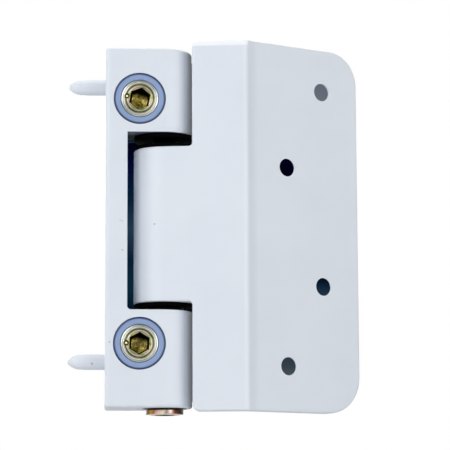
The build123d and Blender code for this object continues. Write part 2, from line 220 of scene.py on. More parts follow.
# The adjusters' yellow film: spacing and roughness of its clouds, and its colours from thin to thick. The one
# without a tone is the main colour from the settings.
FILM_CLOUDS = 1.5
FILM_CLOUD_ROUGHNESS = 0.62
FILM_TONES = ((0.32, "#566A20"), (0.42, "#8F9848"), (0.50, None), (0.57, "#B3AA84"), (0.68, "#CE9A94"))
# How strongly the rim is worn, over a span of the film's clouds.
WORN_SPAN = (0.4, 0.6)
WORN_STRENGTH = (0.7, 1.0)
# Lathe lines on an adjuster's face are 0.1 mm apart, drawn at 0.5 mm to show. They begin at a radius, and are
# drawn where their sine is above a value.
LATHE_LINES = 0.5
LATHE_LINE_TONE = "#55563C"
LATHE_LINES_FROM = 2.95
LATHE_LINES_SOFT = 0.2
LATHE_LINES_ABOVE = -0.2
LATHE_LINES_STRENGTH = 0.6
# A radius that lies past the whole face.
FACE_END = 9
# Where the film is worn off: from which radius, over which soft edge, and how much.
WORN_RINGS = ((3.3, 0.2, 0.4), (4.35, 0.25, 1.0))
# Lines filled with dirt and painted shade, as tone, inner and outer radius, soft edge and strength.
DIRT_AND_SHADE_RINGS = (("#34351F", SCRIBED_R - 0.2, SCRIBED_R - 0.08, 0.12, 0.85), ("#5E5F4C", 4.72, 4.78, 0.1, 0.3))
# The punch mark's painted shade on its wall and painted highlight on its point, in the same order.
PUNCH_SHADE_AND_HIGHLIGHT_RINGS = (("#3B3C10", 0.36, 0.68, 0.12, 1.0), ("#F2F0B8", 0, 0.24, 0.12, 1.0))
# Patches on the socket's floor: seed, spacing, detail, values of the pattern between which they grow, how
# strong they are there, and tone.
# The second patch, light and small, is a painted glint.
FLOOR_PATCHES = ((5, 0.9, 3, (0.35, 0.65), (0.55, 0.95), "#7A6620"),
                 (9, 0.7, 1, (0.51, 0.56), (0.0, 0.7), "#B5A552"),
                 (13, 1.1, 2, (0.48, 0.54), (0.0, 0.6), "#241A08"))
# The floor ends at this distance from the middle, square to a flat; the wall and rim with their painted shade
# lie beyond it.
FLOOR_END = 2.3
FLOOR_SOFT = 0.1
SOCKET_SHADE_SPAN = (2.2, 2.62)
SOCKET_SHADE_SOFT = 0.12
SOCKET_SHADE_TONE = "#0B0904"
# Shade creeps over the floor from this side, between these distances from the middle.
CREEP_SIDE = (0.25, 0, 0.97)
CREEP_SPAN = (0.8, 1.9)
# Roughness from the clean steel to where the socket's shade is painted, and the pits among the lathe ridges:
# spacing and share.
STEEL_ROUGHNESS = (0.36, 0.7)
PIT_SPACING = 0.5
PIT_SHARE = 0.55
TURNED_BUMPS = (0.8, 0.06)

# The height screw's film with painted reflections in it, bright highlights near the middle and painted shade
# towards the sides: its colours across the head from left to right, and how far clouds shift them.
COPPER_FILM_AND_REFLECTION_TONES = ((0.02, "#2A1604"), (0.10, "#BC8A12"), (0.20, "#7C4A20"), (0.27, None), (0.43, "#FFF3D8"),
                (0.52, "#857C6E"), (0.64, "#FCDDD4"), (0.74, "#8A4E20"), (0.88, "#4A1500"), (0.98, "#1A1206"))
COPPER_ACROSS = (-0.06, 0.94)
COPPER_CLOUDS = 1.2
COPPER_CLOUD_ROUGHNESS = 0.6
COPPER_CLOUD_SHIFT = 0.12
COPPER_ROUGHNESS = 0.3
# Painted shade at the top of the head, where it goes into the casting.
HEAD_SHADE_TONE = "#020101"
HEAD_SHADE_HEIGHT = 5
HEAD_SHADE_SOFT = 0.1
# Pale matt film on the head's chamfer, and how metallic the head is from outside the film to under it.
FOOT_FILM_TONE = "#F6DFC8"
FOOT_FILM_SOFT = 0.1
FOOT_FILM_STRENGTH = 0.8
FOOT_METALLIC = (0.6, 0.1)
# Lathe lines on the head are 0.1 mm apart, drawn at 0.3 mm to show.
SCREW_LINES = 0.3
SCREW_BUMPS = (0.2, 0.01)

# Card of painted shade behind the slit beside the knuckle: width left of the collar, how far behind the
# frame, foot and top, and tones from the foot.
SLIT_WIDTH = 2.0
SLIT_BEHIND = 0.2
SLIT_SPAN = (-23.8, 26.6)
SLIT_SHADE_TONES = ("#04061C", "#0A2639", "#081E32", "#22374A", "#051F33", "#040930", "#000006")
# Card of painted shade in the gap between the frame's nose and the flag's band, which keeps the light
# backdrop out of it.
NOSE_CARD_SPAN = (16.4, 30)
NOSE_CARD_DEPTH = 0.5
NOSE_CARD_UPRIGHT = (-47.3, 47)
NOSE_CARD_SHADE_TONES = ("#0A0E10", "#0A0E10")
# Cards of painted shade in the plate's holes: radius, how far in front of the plate's middle, and tones from
# the foot.
CARD_R = 2.5
CARD_OUT = 1.6
HOLE_SHADE_TONES = {"plate_hole_1": ("#656D78", "#606672"), "plate_hole_2": ("#01010F", "#03021A"),
              "plate_hole_3": ("#233744", "#102438", "#00030F"),
              "plate_hole_4": ("#464F59", "#343F49", "#2C3740")}

# Stage, in metres and watts. The lamps are squares that look at the middle of the hinge.
FLOOR_REACH = 3
LAMP_SIZE = 0.6
LAMPS = {"left_softbox": ((-0.6, -0.8, 0.45), 5.4), "right_softbox": ((0.74, -0.77, 0.2), 3.85),
         "side_softbox": ((-0.9, -0.1, 0.1), 1.9), "top_softbox": ((0.0, 0.1, 0.9), 3.5),
         "low_softbox": ((0.3, -0.9, -0.12), 1.3), "back_softbox": ((-0.5, 0.95, 0.25), 3.4)}
# Along Y, as a direction, from where the room is grey to where it is as white as the backdrop.
ROOM_SPAN = (-0.9, 0.3)
CAMERA_PLACE = (-0.00099, -0.57476, -0.08454)
LENS_MM = 168.75
SENSOR_MM = 36


def middle(node):
    """Centre of a CAD node's box."""
    low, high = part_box(node)
    return (low + high) / 2


PIN_AXIS = middle("thrust_ball")
# Height above the thrust ball's centre, in millimetres, from which painted shade covers the height screw's
# head.
HEAD_SHADE_LOW = (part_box("frame_body")[0].z - PIN_AXIS.z) / MM - 0.52
# Height of that head's foot from the same centre, in millimetres.
HEAD_FOOT = (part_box("height_screw")[0].z - PIN_AXIS.z) / MM
# What every colour among the settings has.
COLOUR = {"subtype": "COLOR", "size": 4, "min": 0, "max": 1}


def linear(hex_colour):
    """sRGB hex text to the linear colour that Blender's sockets hold."""
    channels = [int(hex_colour[i:i + 2], 16) / 255 for i in (1, 3, 5)]
    return [c / 12.92 if c <= 0.04045 else ((c + 0.055) / 1.055) ** 2.4 for c in channels] + [1.0]


class HingePaint(bpy.types.PropertyGroup):
    colour: FloatVectorProperty(
        name="Coat", description="Colour of the powder coat on both castings",
        **COLOUR, default=linear("#DEE4EC"))
    shade: FloatVectorProperty(
        name="Coat in hollows", description="Slightly greyer colour where the coat is thin",
        **COLOUR, default=linear("#D6DCE5"))
    peel: FloatProperty(
        name="Peel spacing", description="Distance between the soft bumps of the coat",
        unit="LENGTH", default=1.1 * MM, min=0.2 * MM, max=5 * MM)


class HingeRings(bpy.types.PropertyGroup):
    colour: FloatVectorProperty(
        name="Ring", description="Colour of the moulded adjuster rings",
        **COLOUR, default=linear("#8DA3CB"))
    shade: FloatVectorProperty(
        name="Ring shade", description="Deeper tone of the ring between the lighter clouds",
        **COLOUR, default=linear("#8095BC"))
    # Tone of the painted shade in the joint round each ring.
    joint: FloatVectorProperty(
        name="Joint", description="Colour of the dark joint between ring and casting",
        **COLOUR, default=linear("#1D3763"))
    edge: FloatProperty(
        name="Edge radius", description="Rounding of the ring's front edges",
        unit="LENGTH", default=0.25 * MM, min=0.05 * MM, max=0.4 * MM)


class HingeHardware(bpy.types.PropertyGroup):
    socket: FloatProperty(
        name="Key size", description="Width across the flats of the hexagon sockets",
        unit="LENGTH", default=KEY_SIZE * MM, min=3 * MM, max=6 * MM)
    passivation: FloatVectorProperty(
        name="Passivation", description="Main colour of the yellow passivated steel",
        **COLOUR, default=linear("#AAA67C"))
    bright: FloatVectorProperty(
        name="Bright rim", description="Silver colour of the adjusters' worn rims",
        **COLOUR, default=linear("#DDDFDA"))
    copper: FloatVectorProperty(
        name="Copper", description="Main colour of the height screw's passivation",
        **COLOUR, default=linear("#EDBDB2"))
    bush: FloatVectorProperty(
        name="Bushes", description="Colour of the bushes and collar on the pin",
        **COLOUR, default=linear("#020203"))


class HingeStage(bpy.types.PropertyGroup):
    floor: FloatVectorProperty(
        name="Floor", description="Colour of the floor",
        **COLOUR, default=linear("#F0F1F2"))
    floor_drop: FloatProperty(
        name="Floor drop", description="How far under the hinge the floor lies, below the camera",
        unit="LENGTH", default=150 * MM, min=60 * MM, max=400 * MM)
    ambient: FloatProperty(
        name="Ambient", description="Light that comes evenly from all round",
        default=0.1, min=0, max=1, subtype="FACTOR")
    room_grey: FloatProperty(
        name="Room", description="How bright the room behind the camera looks in gloss and metal",
        default=0.35, min=0, max=1, subtype="FACTOR")
    heading: FloatProperty(
        name="Camera heading", description="Turn of the camera to the right of straight ahead",
        subtype="ANGLE", unit="ROTATION", default=radians(3.39))
    pitch: FloatProperty(
        name="Camera pitch", description="Upward tilt of the camera",
        subtype="ANGLE", unit="ROTATION", default=radians(8.49))
    roll: FloatProperty(
        name="Camera roll", description="Clockwise lean of the camera",
        subtype="ANGLE", unit="ROTATION", default=radians(-0.25))


# Node helpers

def add_node(tree, kind, inputs=None, **settings):
    """Adds a shader node with its settings, its values and the links into it."""
    made = tree.nodes.new(kind)
    made.location = (220 * len(tree.nodes), 0)
    for name, value in settings.items():
        setattr(made, name, value)
    for socket, value in (inputs or {}).items():
        if isinstance(value, bpy.types.NodeSocket):
            tree.links.new(value, made.inputs[socket])
        else:
            made.inputs[socket].default_value = value
    return made


def new_material(name):
    """An empty node material: its tree, its Object coordinates and its output node."""
    material = bpy.data.materials.new(name)
    material.use_nodes = True
    tree = material.node_tree
    tree.nodes.clear()
    place = add_node(tree, "ShaderNodeTexCoord").outputs["Object"]
    output = add_node(tree, "ShaderNodeOutputMaterial")
    return material, tree, place, output


def maths(tree, operation, *values):
    """What an operation on values gives."""
    return add_node(tree, "ShaderNodeMath", dict(enumerate(values)), operation=operation).outputs[0]


def measured(tree, operation, *vectors):
    """The number that a vector operation gives: a length, a distance or a dot product."""
    made = add_node(tree, "ShaderNodeVectorMath", dict(enumerate(vectors)), operation=operation)
    return made.outputs["Value"]


def ranged(tree, value, low, high, start=0.0, end=1.0):
    """A value between low and high, turned into one between start and end."""
    made = add_node(tree, "ShaderNodeMapRange", {"Value": value, "From Min": low, "From Max": high,
                                                 "To Min": start, "To Max": end})
    return made.outputs["Result"]


def along(tree, value, span, start=0.0, end=1.0):
    """A distance within a span in millimetres, turned into a value between start and end."""
    return ranged(tree, value, span[0] * MM, span[1] * MM, start, end)


def band(tree, value, low, high, soft, top=1.0):
    """A value that is top between two distances in millimetres and fades to 0 over a soft edge."""
    return maths(tree, "MULTIPLY", along(tree, value, (low - soft, low), 0.0, top),
                 along(tree, value, (high, high + soft), 1.0, 0.0))


def noise(tree, place, spacing, detail, roughness=0.5, seed=None):
    """A cloudy pattern whose features are that many millimetres apart; each seed gives another."""
    inputs = {"Vector": place, "Scale": 1 / (spacing * MM), "Detail": detail, "Roughness": roughness}
    if seed is None:
        return add_node(tree, "ShaderNodeTexNoise", inputs).outputs["Fac"]
    return add_node(tree, "ShaderNodeTexNoise", {**inputs, "W": seed}, noise_dimensions="4D").outputs["Fac"]


def waves(tree, value, spacing):
    """A sine along a distance, with its crests that many millimetres apart."""
    return maths(tree, "SINE", maths(tree, "MULTIPLY", value, 2 * pi / (spacing * MM)))


def ramp(tree, value, *stops):
    """The colour at a value among stops of place and colour, which are given in order."""
    made = add_node(tree, "ShaderNodeValToRGB", {"Fac": value})
    elements = made.color_ramp.elements
    elements[0].position, elements[0].color = stops[0]
    elements[1].position, elements[1].color = stops[-1]
    for place, colour in stops[1:-1]:
        elements.new(place).color = colour
    return made.outputs["Color"]


def tone_stops(tones, main):
    """A ramp's stops from places and tones; the place without a tone takes the main colour."""
    return [(place, linear(tone) if tone else main) for place, tone in tones]


def painted_over(tree, under, colour, factor):
    """A colour laid over another by a factor."""
    mixed = add_node(tree, "ShaderNodeMix", {"Factor": factor, "A": under, "B": colour}, data_type="RGBA")
    return mixed.outputs["Result"]


def between(tree, factor, first, second):
    """A number between two others."""
    return add_node(tree, "ShaderNodeMix", {"Factor": factor, "A": first, "B": second}).outputs["Result"]


def either(tree, factor, first, second):
    """One of two shaders, or a mixture of them."""
    return add_node(tree, "ShaderNodeMixShader", {0: factor, 1: first, 2: second}).outputs["Shader"]


def bumps(tree, height, strength, distance):
    """The normal of a surface with bumps of that height in millimetres."""
    made = add_node(tree, "ShaderNodeBump", {"Height": height, "Strength": strength,
                                             "Distance": distance * MM})
    return made.outputs["Normal"]


def principled(tree, output, inputs):
    """Ends a material with a principled shader."""
    shader = add_node(tree, "ShaderNodeBsdfPrincipled", inputs)
    tree.links.new(shader.outputs["BSDF"], output.inputs["Surface"])


# Materials

def band_highlights(tree, colour, parts, band_top):
    """The coat's colour with painted highlights on the flag's band, at its top and beside the bend."""
    top = band(tree, parts["Z"], band_top - BAND_TOP_STRIP, band_top + BAND_TOP_OVER, BAND_TOP_SOFT,
               BAND_TOP_HIGHLIGHT)
    top = maths(tree, "MULTIPLY", top, maths(tree, "LESS_THAN", parts["X"], BAND_RIDGE[1] * MM))
    ridge = band(tree, parts["X"], *BAND_RIDGE, BAND_RIDGE_SOFT, BAND_RIDGE_HIGHLIGHT)
    return painted_over(tree, colour, linear(BAND_HIGHLIGHT_TONE), maths(tree, "MAXIMUM", top, ridge))


def painted_lug_shade(tree, colour, parts, pocket_roof):
    """The coat's colour with painted shade under the upper lug and on the lugs' rounded end, and how deep
    that shade is.
    """
    depth = along(tree, parts["Y"], ROOF_SHADE_SPAN, ROOF_SHADE_FAINTEST, 1.0)
    normal = add_node(tree, "ShaderNodeNewGeometry").outputs["Normal"]
    upward = add_node(tree, "ShaderNodeSeparateXYZ", {"Vector": normal}).outputs["Z"]
    # Painted shade on faces that look down, deeper further back under the upper lug.
    thick = maths(tree, "MULTIPLY", depth, maths(tree, "LESS_THAN", upward, LOOKS_DOWN))
    roof = maths(tree, "MULTIPLY", thick, band(tree, parts["Z"], pocket_roof - ROOF_SHADE_UNDER,
                                               pocket_roof + ROOF_SHADE_OVER, ROOF_SHADE_SOFT))
    colour = painted_over(tree, colour, linear(ROOF_SHADE_TONE), roof)
    # The flag's band passes close by the lugs' end, and the shade there is painted.
    nose = along(tree, parts["X"], NOSE_SHADE_SPAN, 0.0, NOSE_SHADE_DEEPEST)
    nose = maths(tree, "MULTIPLY", nose, along(tree, parts["Y"], NOSE_SHADE_FADE, 1.0, 0.0))
    return painted_over(tree, colour, linear(NOSE_SHADE_TONE), nose), maths(tree, "MAXIMUM", nose, roof)


def powder_coat(name, settings, marks, pocket_roof=None, band_top=None):
    """Powder coated zinc casting: satin, off-white, softly uneven, with a few specks."""
    material, tree, place, output = new_material(name)
    colour = painted_over(tree, settings.shade, settings.colour, noise(tree, place, COAT_POOL, detail=3))
    parts = add_node(tree, "ShaderNodeSeparateXYZ", {"Vector": place}).outputs
    if band_top:
        # Painted highlights on the band's top strip and on the ridge beside the bend.
        colour = band_highlights(tree, colour, parts, band_top)
    for spot, radius, tone in marks:
        away = measured(tree, "DISTANCE", place, Vector(spot) * MM)
        colour = painted_over(tree, colour, linear(tone), band(tree, away, 0, radius, radius / 2))
    sheen = COAT_SHEEN
    # The coat mirrors less where shade is painted.
    if pocket_roof:
        colour, lug_shade = painted_lug_shade(tree, colour, parts, pocket_roof)
        sheen = ranged(tree, lug_shade, 0.0, 1.0, COAT_SHEEN, 0.0)
    peel = noise(tree, place, settings.peel / MM, detail=2)
    principled(tree, output, {
        "Base Color": colour, "Roughness": ranged(tree, peel, 0.0, 1.0, *COAT_ROUGHNESS),
        "Normal": bumps(tree, peel, *PEEL_BUMPS), "IOR": COAT_IOR, "Specular IOR Level": sheen})
    return material


def moulded_nylon(tree, place, output, tone, roughness, sheen=0.5):
    """Ends a material as injection moulded nylon, with the fine spark-eroded texture of the mould."""
    grain = noise(tree, place, MOULD_TEXTURE, detail=2)
    principled(tree, output, {
        "Base Color": tone, "Roughness": roughness, "Normal": bumps(tree, grain, *MOULD_BUMPS),
        "IOR": NYLON_IOR, "Specular IOR Level": sheen})


def bush_nylon(name, colour):
    """Dull black nylon of the bushes and the collar."""
    material, tree, place, output = new_material(name)
    darker = [c * BUSH_SHADE for c in colour[:3]] + [1]
    tone = painted_over(tree, darker, colour, noise(tree, place, NYLON_CLOUDS, detail=2))
    moulded_nylon(tree, place, output, tone, BUSH_ROUGHNESS, BUSH_SHEEN)
    return material


def ring_nylon(name, settings, centre):
    """Moulded nylon of an adjuster ring, with painted shade in the joint round it."""
    material, tree, place, output = new_material(name)
    across = add_node(tree, "ShaderNodeMapping", {"Vector": place, "Location": (-centre.x, 0, -centre.z),
                                                  "Scale": (1, 0, 1)}).outputs["Vector"]
    # Painted shade in the joint round the ring.
    joint = along(tree, measured(tree, "LENGTH", across), JOINT_SHADE_SPAN)
    tone = painted_over(tree, settings.shade, settings.colour, noise(tree, place, NYLON_CLOUDS, detail=2))
    moulded_nylon(tree, place, output, painted_over(tree, tone, settings.joint, joint), RING_ROUGHNESS)
    return material


def bare_metal(name, tones, roughness, spacing, stretch):
    """Bare metal: tones from dark to light in clouds, and grain that the tool's path stretches."""
    material, tree, place, output = new_material(name)
    clouds = noise(tree, place, METAL_CLOUDS, detail=4)
    colour = ramp(tree, clouds, *zip(METAL_TONE_SPAN, map(linear, tones)))
    stretched = add_node(tree, "ShaderNodeMapping", {"Vector": place, "Scale": stretch}).outputs["Vector"]
    grain = noise(tree, stretched, spacing, detail=3)
    principled(tree, output, {"Base Color": colour, "Metallic": 1.0, "Roughness": roughness,
                              "Normal": bumps(tree, grain, *GRAIN_BUMPS)})
    return material


def flats_distance(tree, local, turn):
    """How far a point lies from the socket's middle, measured square to the nearest of its six flats."""
    furthest = None
    for side in range(3):
        angle = side * pi / 3 + turn
        apart = maths(tree, "ABSOLUTE", measured(tree, "DOT_PRODUCT", local, (cos(angle), 0, sin(angle))))
        furthest = maths(tree, "MAXIMUM", furthest, apart) if furthest else apart
    return furthest


def socket_floor(tree, colour, local, turn):
    """The steel's colour with grime, painted glints and painted shade in the hexagon socket, and where that
    shade lies.
    """
    flats = flats_distance(tree, local, radians(turn))
    on_floor = band(tree, flats, 0, FLOOR_END, FLOOR_SOFT)
    for seed, spacing, detail, span, strength, tone in FLOOR_PATCHES:
        patches = ranged(tree, noise(tree, local, spacing, detail, seed=turn + seed), *span, *strength)
        colour = painted_over(tree, colour, linear(tone), maths(tree, "MULTIPLY", patches, on_floor))
    # Painted shade darkens the socket's walls and rim, and creeps over its floor from the top.
    creep = along(tree, measured(tree, "DOT_PRODUCT", local, CREEP_SIDE), CREEP_SPAN)
    creep = maths(tree, "MULTIPLY", creep, on_floor)
    socket_shade = maths(tree, "MAXIMUM", band(tree, flats, *SOCKET_SHADE_SPAN, SOCKET_SHADE_SOFT), creep)
    return painted_over(tree, colour, linear(SOCKET_SHADE_TONE), socket_shade), socket_shade


def passivated_steel(name, hardware, centre, turn, punch):
    """Turned steel, passivated yellow: olive and gold shifting to green and pink, silver at the rim."""
    material, tree, place, output = new_material(name)
    local = add_node(tree, "ShaderNodeMapping", {"Vector": place, "Location": -centre}).outputs["Vector"]
    flat = add_node(tree, "ShaderNodeMapping", {"Vector": local, "Scale": (1, 0.001, 1)}).outputs["Vector"]
    reach = measured(tree, "LENGTH", flat)
    # The film's thickness drifts over 1 to 3 mm, and with it the colour that the eye sees.
    film = noise(tree, local, FILM_CLOUDS, 6, FILM_CLOUD_ROUGHNESS, turn)
    colour = ramp(tree, film, *tone_stops(FILM_TONES, hardware.passivation))
    # The film is worn thin on the rim, where plain zinc shows.
    thin = maths(tree, "MAXIMUM", *[band(tree, reach, start, FACE_END, soft, top)
                                    for start, soft, top in WORN_RINGS])
    worn = maths(tree, "MULTIPLY", ranged(tree, film, *WORN_SPAN, *WORN_STRENGTH), thin)
    colour = painted_over(tree, colour, hardware.bright, worn)
    # The lathe lines are dark lines here and ridges in the bump below.
    turning = waves(tree, reach, LATHE_LINES)
    lathe_lines = ranged(tree, turning, LATHE_LINES_ABOVE, 1.0, 0.0, LATHE_LINES_STRENGTH)
    on_face = band(tree, reach, LATHE_LINES_FROM, FACE_END, LATHE_LINES_SOFT)
    lathe_lines = maths(tree, "MULTIPLY", lathe_lines, on_face)
    colour = painted_over(tree, colour, linear(LATHE_LINE_TONE), lathe_lines)
    away = measured(tree, "DISTANCE", flat, punch)
    # Dark lines, and the punch mark's painted shade and highlight.
    for measure, rings in ((reach, DIRT_AND_SHADE_RINGS), (away, PUNCH_SHADE_AND_HIGHLIGHT_RINGS)):
        for tone, *shape in rings:
            colour = painted_over(tree, colour, linear(tone), band(tree, measure, *shape))
    colour, socket_shade = socket_floor(tree, colour, local, turn)
    height = between(tree, PIT_SHARE, turning, noise(tree, local, PIT_SPACING, detail=4))
    principled(tree, output, {
        "Base Color": colour, "Metallic": 1.0, "Roughness": ranged(tree, socket_shade, 0.0, 1.0, *STEEL_ROUGHNESS),
        "Normal": bumps(tree, height, *TURNED_BUMPS)})
    return material


def copper_passivated(hardware):
    """Turned steel, passivated in gold, pink and brown bands with painted highlights and shade, that shift
    round it, with fine lathe lines.
    """
    material, tree, place, output = new_material("copper_passivated_steel")
    local = add_node(tree, "ShaderNodeMapping", {"Vector": place, "Location": -PIN_AXIS}).outputs["Vector"]
    parts = add_node(tree, "ShaderNodeSeparateXYZ", {"Vector": local}).outputs
    # The colours run across the head from left to right, with painted highlights near the middle and painted
    # shade at the sides.
    across = ranged(tree, parts["X"], -HEAD_R * MM, HEAD_R * MM, *COPPER_ACROSS)
    clouds = noise(tree, local, COPPER_CLOUDS, 4, COPPER_CLOUD_ROUGHNESS)
    film = maths(tree, "MULTIPLY_ADD", clouds, COPPER_CLOUD_SHIFT, across)
    colour = ramp(tree, film, *tone_stops(COPPER_FILM_AND_REFLECTION_TONES, hardware.copper))
    # Painted shade lies where the head meets the casting.
    head_shade = band(tree, parts["Z"], HEAD_SHADE_LOW, HEAD_SHADE_LOW + HEAD_SHADE_HEIGHT, HEAD_SHADE_SOFT)
    colour = painted_over(tree, colour, linear(HEAD_SHADE_TONE), head_shade)
    foot = band(tree, parts["Z"], HEAD_FOOT - 1, HEAD_FOOT + SCREW_FACE_RISE - FOOT_FILM_SOFT, FOOT_FILM_SOFT,
                FOOT_FILM_STRENGTH)
    colour = painted_over(tree, colour, linear(FOOT_FILM_TONE), foot)
    principled(tree, output, {
        "Base Color": colour, "Metallic": ranged(tree, foot, 0.0, 1.0, *FOOT_METALLIC),
        "Roughness": COPPER_ROUGHNESS,
        "Normal": bumps(tree, waves(tree, parts["Z"], SCREW_LINES), *SCREW_BUMPS)})
    return material


def dress(node, material):
    """Gives a CAD node its finish."""
    node_object = frame["nodes"][node]
    node_object.data.materials.clear()
    node_object.data.materials.append(material)


# Mesh helpers

def lathe(bm, corners):
    """Spins a profile of (radius, depth) corners, in millimetres, round the Y axis."""
    points = [bm.verts.new((radius * MM, depth * MM, 0)) for radius, depth in corners]
    edges = [bm.edges.new(pair) for pair in zip(points, points[1:])]
    bmesh.ops.spin(bm, geom=points + edges, cent=(0, 0, 0), axis=ALONG_Y, dvec=(0, 0, 0), angle=2 * pi,
                   steps=SPIN_STEPS, use_merge=True, use_duplicate=False)
    bmesh.ops.remove_doubles(bm, verts=bm.verts, dist=WELD * MM)


def edges_between(verts):
    """Edges whose two ends are both among the given vertices, in the order of those vertices."""
    chosen = set(verts)
    return list(dict.fromkeys(e for v in verts for e in v.link_edges if set(e.verts) <= chosen))


def open_loop(bm, radius):
    """The open edge loop of that radius in millimetres in the face of a turned piece."""
    near = [v for v in bm.verts if v.is_boundary and abs(v.co.length - radius * MM) < NEAR * MM]
    return edges_between(near)


def flat_loop(bm, radius, sides, depth=0, turn=0):
    """A polygon square to the Y axis, with as many points as a spun circle so that the two can be bridged."""
    corners = bmesh.ops.create_circle(bm, cap_ends=False, radius=radius * MM, segments=sides)["verts"]
    bmesh.ops.rotate(bm, verts=corners, cent=(0, 0, 0), matrix=Matrix.Rotation(pi / 2, 3, "X"))
    bmesh.ops.rotate(bm, verts=corners, cent=(0, 0, 0), matrix=Matrix.Rotation(-turn, 3, "Y"))
    bmesh.ops.translate(bm, verts=corners, vec=ALONG_Y * depth * MM)
    if sides < SPIN_STEPS:
        bmesh.ops.subdivide_edges(bm, edges=edges_between(corners), cuts=SPIN_STEPS // sides - 1)
    return [e for e in bm.edges if e.is_wire]


def step_loop(bm, loop, depth, scale):
    """Extrudes an edge loop into the piece by a depth in millimetres and scales it about the Y axis."""
    made = bmesh.ops.extrude_edge_only(bm, edges=loop)["geom"]
    verts = [v for v in made if isinstance(v, bmesh.types.BMVert)]
    bmesh.ops.scale(bm, verts=verts, vec=(scale, 1, scale))
    bmesh.ops.translate(bm, verts=verts, vec=ALONG_Y * depth * MM)
    return [e for e in made if isinstance(e, bmesh.types.BMEdge)]


def cut_socket(bm, face_r, key, depth, turn=0):
    """Fills the open face of a turned piece with a hexagon socket, its rim broken and its floor drilled."""
    corner = key / sqrt(3)
    rim = flat_loop(bm, corner + RIM_BREAK, 6, 0, turn)
    bmesh.ops.bridge_loops(bm, edges=open_loop(bm, face_r) + rim)
    wall = step_loop(bm, rim, RIM_BREAK, corner / (corner + RIM_BREAK))
    floor = step_loop(bm, wall, depth - RIM_BREAK, 1)
    drill = flat_loop(bm, DRILL_R, SPIN_STEPS, depth)
    bmesh.ops.bridge_loops(bm, edges=floor + drill)
    tip = step_loop(bm, drill, DRILL_DEPTH, DRILL_TIP_SCALE)
    bmesh.ops.contextual_create(bm, geom=tip)


def dent(bm, place, radius):
    """Presses a punch mark with a raised lip into a face that lies at depth 0."""
    near = [e for e in bm.edges if all((v.co - place).length < PUNCH_FINE_R * MM for v in e.verts)]
    bmesh.ops.subdivide_edges(bm, edges=near, cuts=3, use_grid_fill=True)
    for vert in bm.verts:
        reach = Vector((vert.co.x - place.x, vert.co.z - place.z)).length / (radius * MM)
        if reach < 1 and vert.co.y < PUNCH_LOWEST * MM:
            vert.co.y = max(vert.co.y, PUNCH_DEPTH * (1 - reach) * MM)
        elif reach < PUNCH_LIP and vert.co.y < NEAR * MM:
            vert.co.y -= PUNCH_LIP_RISE * MM


def helix_ridge(bm, root_r, crest_r, pitch, start, end):
    """A thread's ridge: a closed section with a narrow crest, swept along a helix about the Y axis."""
    turns = (end - start) / pitch
    steps = round(turns * SPIN_STEPS)
    section = ((root_r - THREAD_SUNK, -THREAD_FOOT * pitch), (crest_r, -THREAD_CREST * pitch),
               (crest_r, THREAD_CREST * pitch), (root_r - THREAD_SUNK, THREAD_FOOT * pitch))
    points = [bm.verts.new((radius * MM, (start + along) * MM, 0)) for radius, along in section]
    first = bm.faces.new(points)
    bmesh.ops.spin(bm, geom=[first], cent=(0, 0, 0), axis=ALONG_Y, dvec=ALONG_Y * (end - start) / steps * MM,
                   angle=2 * pi * turns, steps=steps, use_merge=False, use_duplicate=False)


def soften(bm, width, segments=3):
    """Bevels every sharp edge by a width in millimetres."""
    sharp = radians(BEVEL_FROM)
    edges = [e for e in bm.edges if len(e.link_faces) == 2 and e.calc_face_angle(0) > sharp]
    bmesh.ops.bevel(bm, geom=edges, offset=width * MM, offset_type="OFFSET", affect="EDGES",
                    segments=segments, profile=0.5, material=-1, clamp_overlap=True)


def finish_piece(bm, name, body, material, slot, *nodes):
    """Closes a mesh, turns its faces outwards and puts it in the scene in place of its CAD nodes."""
    bmesh.ops.remove_doubles(bm, verts=bm.verts, dist=WELD * MM)
    bmesh.ops.recalc_face_normals(bm, faces=bm.faces)
    mesh = bpy.data.meshes.new(name)
    bm.to_mesh(mesh)
    bm.free()
    mesh.shade_smooth()
    mesh.set_sharp_from_angle(angle=radians(SHARP_FROM))
    mesh.materials.append(material)
    piece = bpy.data.objects.new(name, mesh)
    bpy.context.scene.collection.objects.link(piece)
    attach(piece, body)
    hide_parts(*nodes)


# Operators

class HINGE_OT_castings(bpy.types.Operator):
    """Powder coats the frame body and the flag leaf"""
    bl_idname = "hinge.castings"
    bl_label = "Castings"

    def execute(self, context):
        settings = context.scene.hinge_paint
        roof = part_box("upper_collar")[0].z / MM + COLLAR_FLANGE
        dress("frame_body", powder_coat("powder_coat_frame", settings, FRAME_MARKS, roof))
        dress("flag_leaf", powder_coat("powder_coat_flag", settings, FLAG_MARKS,
                                       band_top=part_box("flag_leaf")[1].z / MM))
        return {"FINISHED"}


class HINGE_OT_adjuster_rings(bpy.types.Operator):
    """Makes the two moulded rings round the adjusters"""
    bl_idname = "hinge.adjuster_rings"
    bl_label = "Adjuster rings"

    def execute(self, context):
        settings = context.scene.hinge_rings
        for side in SIDES:
            node = side + "_adjuster_ring"
            low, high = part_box(node)
            depth = (high.y - low.y) / MM
            bm = bmesh.new()
            lathe(bm, ((RING_R, depth), (RING_R, 0), (RING_BORE, 0), (RING_BORE, depth - RING_FLOOR),
                       (RING_FLOOR_BORE, depth - RING_FLOOR), (RING_FLOOR_BORE, depth), (RING_R, depth)))
            soften(bm, settings.edge / MM)
            centre = middle(node)
            centre.y = low.y
            bmesh.ops.translate(bm, verts=bm.verts, vec=centre)
            material = ring_nylon("moulded_nylon_" + node, settings, centre)
            finish_piece(bm, node + "_moulding", "frame", material, "ring_nylon", node)
        return {"FINISHED"}


